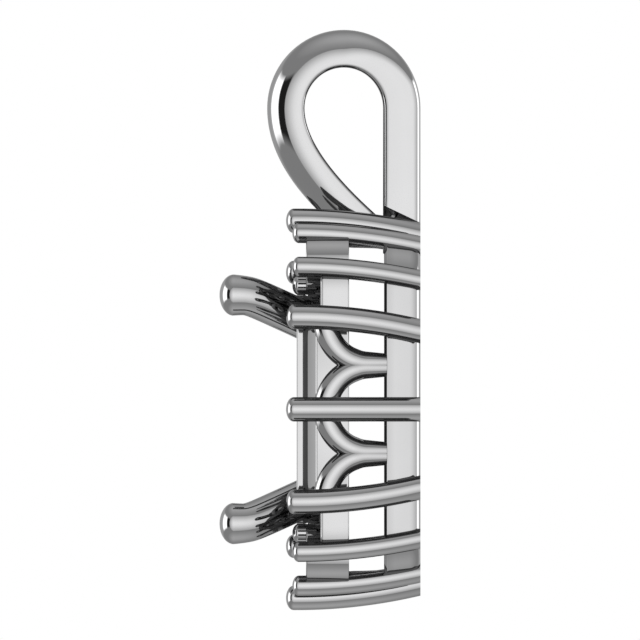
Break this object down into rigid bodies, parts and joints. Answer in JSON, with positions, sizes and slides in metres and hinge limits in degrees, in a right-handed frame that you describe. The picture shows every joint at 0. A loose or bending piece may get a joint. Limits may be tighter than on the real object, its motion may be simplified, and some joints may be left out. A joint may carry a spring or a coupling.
{
  "type": "pendant setting",
  "caption": "Empty rounded-square halo pendant setting in polished white metal, with centre prongs, barred gallery, accent seats and a rigid bail.",
  "frame": {"origin": "middle of the flat back, under the centre of the bounding box, bail included", "axes": "+Z out of the front, the way the prongs point; +Y up to the bail; +X across to the wearer's left"},
  "size_m": [0.0114, 0.0166, 0.0057],
  "materials": {
    "white_metal": "mirror-polished white gold"
  },
  "bodies": {
    "root": {"setting": "white_metal"}
  },
  "joints": []
}
